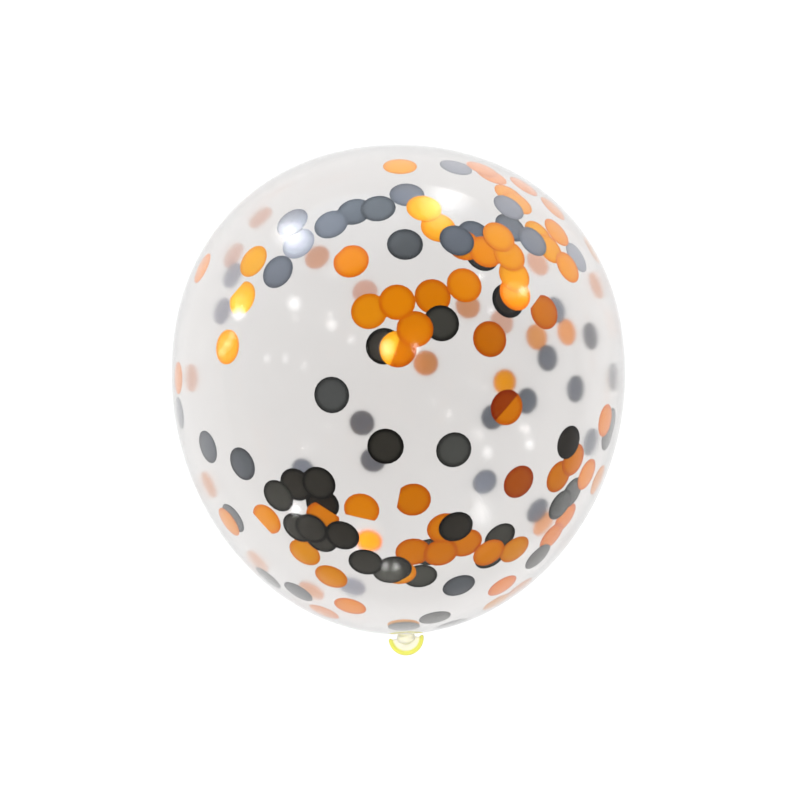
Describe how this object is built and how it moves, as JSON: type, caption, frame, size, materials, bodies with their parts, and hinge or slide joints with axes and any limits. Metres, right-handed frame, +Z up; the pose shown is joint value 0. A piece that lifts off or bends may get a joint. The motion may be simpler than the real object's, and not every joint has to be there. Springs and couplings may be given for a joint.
{
  "type": "confetti balloon",
  "caption": "Clear round latex balloon with orange and black foil confetti inside, blown up, tied, and lying on its side.",
  "frame": {"origin": "on the surface that the balloon lies on, below the middle of its outline", "axes": "+Y along the balloon's axis towards its crown, +Z up"},
  "size_m": [0.3048, 0.3446, 0.3027],
  "materials": {
    "clear_latex": "clear, glossy",
    "thick_latex": "milky yellow where the latex is bunched",
    "orange_foil": "glossy metallic foil",
    "black_foil": "glossy black foil"
  },
  "bodies": {
    "root": {"latex_balloon": "clear_latex"}
  },
  "joints": []
}
